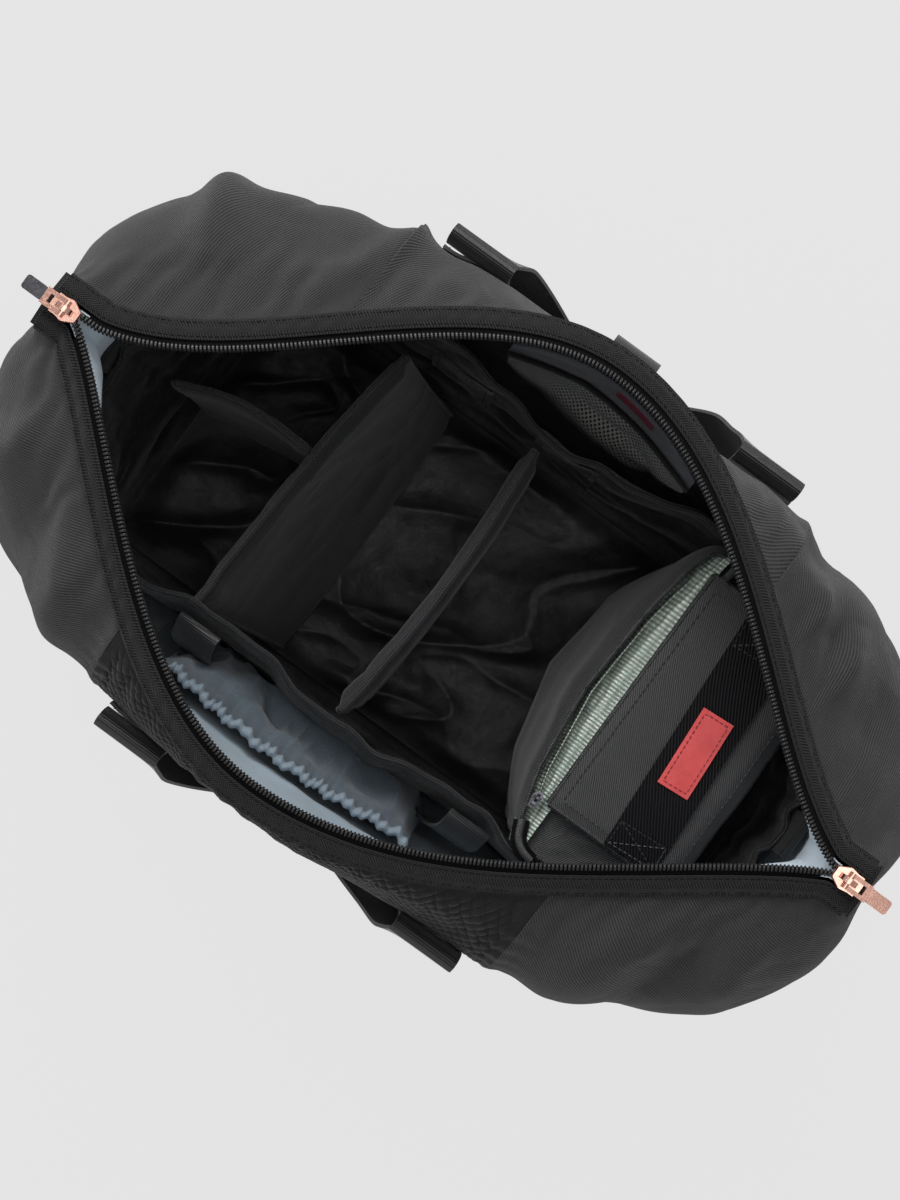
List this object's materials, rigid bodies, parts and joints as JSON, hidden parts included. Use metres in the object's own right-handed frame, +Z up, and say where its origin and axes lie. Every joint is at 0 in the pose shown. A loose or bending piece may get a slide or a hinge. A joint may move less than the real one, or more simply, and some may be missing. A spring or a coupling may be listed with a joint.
{
  "type": "changing bag",
  "caption": "Soft weekender changing bag standing open, with a two-way zip mouth, webbing handles, lift-out divided organiser and insulated pouch.",
  "frame": {"origin": "middle of the base's underside, on the surface the bag stands on", "axes": "+X along the bag towards the end with the insulated pouch, -Y out of the embossed front, +Z up through the open mouth"},
  "size_m": [0.524, 0.3362, 0.2943],
  "materials": {
    "outer_twill": "matt black twill with a dense weave",
    "embossed_fabric": "black coated fabric embossed with small scales, soft sheen",
    "board": "stiffening board, hidden under the lining",
    "lining_fabric": "grey-blue woven lining, slightly shiny",
    "mesh_fabric": "black open mesh",
    "label_fabric": "maroon woven label, blank",
    "zip_tape": "black ribbed zip tape and ribbon",
    "zip_coil": "glossy black nylon coil",
    "rose_metal": "polished rose-gold plated zinc",
    "dark_metal": "gunmetal plated zinc",
    "puller_grip": "soft black grip",
    "webbing": "black ribbed webbing with a satin sheen",
    "organiser_nylon": "thin black nylon, creased",
    "binding_tape": "black grosgrain binding",
    "padded_fabric": "black woven fabric over foam",
    "foil": "crinkled silver insulating foil",
    "patch_fabric": "plain red stitched patch"
  },
  "bodies": {
    "bag": {"front_panel": "embossed_fabric", "back_panel": "outer_twill", "left_end_panel": "outer_twill", "right_end_panel": "outer_twill", "base_panel": "outer_twill", "base_board": "board", "front_lining": "lining_fabric", "back_lining": "lining_fabric", "left_end_lining": "lining_fabric", "right_end_lining": "lining_fabric", "base_lining": "lining_fabric", "front_zip_facing": "zip_tape", "back_zip_facing": "zip_tape", "front_zip_tape": "zip_tape", "back_zip_tape": "zip_tape", "front_zip_coil": "zip_coil", "back_zip_coil": "zip_coil", "zip_end_tabs": "zip_tape", "elastic_pocket": "lining_fabric", "elastic_pocket_hem": "lining_fabric", "mesh_pocket": "mesh_fabric", "mesh_pocket_zip": "zip_tape", "lining_label": "label_fabric", "front_handle_straps": "webbing", "back_handle_straps": "webbing", "back_hang_loop": "webbing"},
    "front_grab_handle": {"front_handle": "webbing"},
    "back_grab_handle": {"back_handle": "webbing"},
    "left_zip_slider": {"left_slider": "rose_metal"},
    "left_zip_puller": {"left_puller": "dark_metal", "left_puller_tab": "puller_grip"},
    "right_zip_slider": {"right_slider": "rose_metal"},
    "right_zip_puller": {"right_puller": "dark_metal", "right_puller_tab": "puller_grip"},
    "mesh_pocket_slider": {"mesh_zip_slider": "dark_metal"},
    "mesh_pocket_puller": {"mesh_zip_puller": "dark_metal"},
    "organiser": {"organiser_floor": "organiser_nylon", "organiser_front_wall": "organiser_nylon", "organiser_back_wall": "organiser_nylon", "organiser_left_wall": "organiser_nylon", "organiser_right_wall": "organiser_nylon", "organiser_binding": "binding_tape", "organiser_end_handles": "webbing", "organiser_front_strap": "webbing"},
    "left_divider": {"divider_left": "padded_fabric", "divider_left_tabs": "binding_tape"},
    "centre_divider": {"divider_centre": "padded_fabric", "divider_centre_tabs": "binding_tape"},
    "cross_divider": {"divider_cross": "padded_fabric"},
    "insulated_pouch": {"pouch_shell": "padded_fabric", "pouch_foil_lining": "foil", "pouch_zip": "zip_tape"},
    "pouch_cover": {"pouch_lid": "padded_fabric", "pouch_lid_foil": "foil", "pouch_strap": "webbing", "pouch_patch": "patch_fabric"},
    "pouch_slider": {"pouch_zip_slider": "dark_metal"},
    "pouch_puller": {"pouch_zip_puller": "dark_metal"}
  },
  "joints": [
    {"name": "front_handle_swing", "type": "hinge", "parent": "bag", "child": "front_grab_handle", "pos_m": [0, -0.1625, 0.232], "axis": [-1, 0, 0], "range_deg": [0, 165]},
    {"name": "back_handle_swing", "type": "hinge", "parent": "bag", "child": "back_grab_handle", "pos_m": [0, 0.1625, 0.232], "axis": [1, 0, 0], "range_deg": [0, 165]},
    {"name": "left_slider_slide", "type": "slide", "parent": "bag", "child": "left_zip_slider", "axis": [1, 0, 0], "range_m": [0, 0.008]},
    {"name": "left_puller_flip", "type": "hinge", "parent": "left_zip_slider", "child": "left_zip_puller", "pos_m": [-0.235, 0, 0.2897], "axis": [0, 1, 0], "range_deg": [0, 168]},
    {"name": "right_slider_slide", "type": "slide", "parent": "bag", "child": "right_zip_slider", "axis": [-1, 0, 0], "range_m": [0, 0.008]},
    {"name": "right_puller_flip", "type": "hinge", "parent": "right_zip_slider", "child": "right_zip_puller", "pos_m": [0.235, 0, 0.2897], "axis": [0, -1, 0], "range_deg": [0, 168]},
    {"name": "mesh_pocket_zip_slide", "type": "slide", "parent": "bag", "child": "mesh_pocket_slider", "axis": [1, 0, 0], "range_m": [0, 0.12]},
    {"name": "mesh_pocket_puller_flip", "type": "hinge", "parent": "mesh_pocket_slider", "child": "mesh_pocket_puller", "pos_m": [-0.066, 0.1233, 0.226], "axis": [0, 0, 1], "range_deg": [0, 168]},
    {"name": "organiser_lift", "type": "slide", "parent": "bag", "child": "organiser", "axis": [0, 0, 1], "range_m": [0, 0.3], "deforming": ["front_panel", "back_panel", "left_end_panel", "right_end_panel", "front_lining", "back_lining", "left_end_lining", "right_end_lining", "front_zip_facing", "back_zip_facing", "front_zip_tape", "back_zip_tape", "front_zip_coil", "back_zip_coil", "zip_end_tabs"]},
    {"name": "left_divider_lift", "type": "slide", "parent": "organiser", "child": "left_divider", "axis": [0, 0, 1], "range_m": [0, 0.2]},
    {"name": "centre_divider_lift", "type": "slide", "parent": "organiser", "child": "centre_divider", "axis": [0, 0, 1], "range_m": [0, 0.2]},
    {"name": "cross_divider_lift", "type": "slide", "parent": "organiser", "child": "cross_divider", "axis": [0, 0, 1], "range_m": [0, 0.2]},
    {"name": "pouch_lift", "type": "slide", "parent": "organiser", "child": "insulated_pouch", "axis": [0, 0, 1], "range_m": [0, 0.29]},
    {"name": "pouch_lid_swing", "type": "hinge", "parent": "insulated_pouch", "child": "pouch_cover", "pos_m": [0.175, 0, 0.2037], "axis": [0, 1, 0], "range_deg": [0, 60]},
    {"name": "pouch_zip_slide", "type": "slide", "parent": "insulated_pouch", "child": "pouch_slider", "axis": [0, 1, 0], "range_m": [0, 0.12]},
    {"name": "pouch_puller_flip", "type": "hinge", "parent": "pouch_slider", "child": "pouch_puller", "pos_m": [0.0955, -0.06, 0.2078], "axis": [-1, 0, 0], "range_deg": [0, 168]}
  ]
}
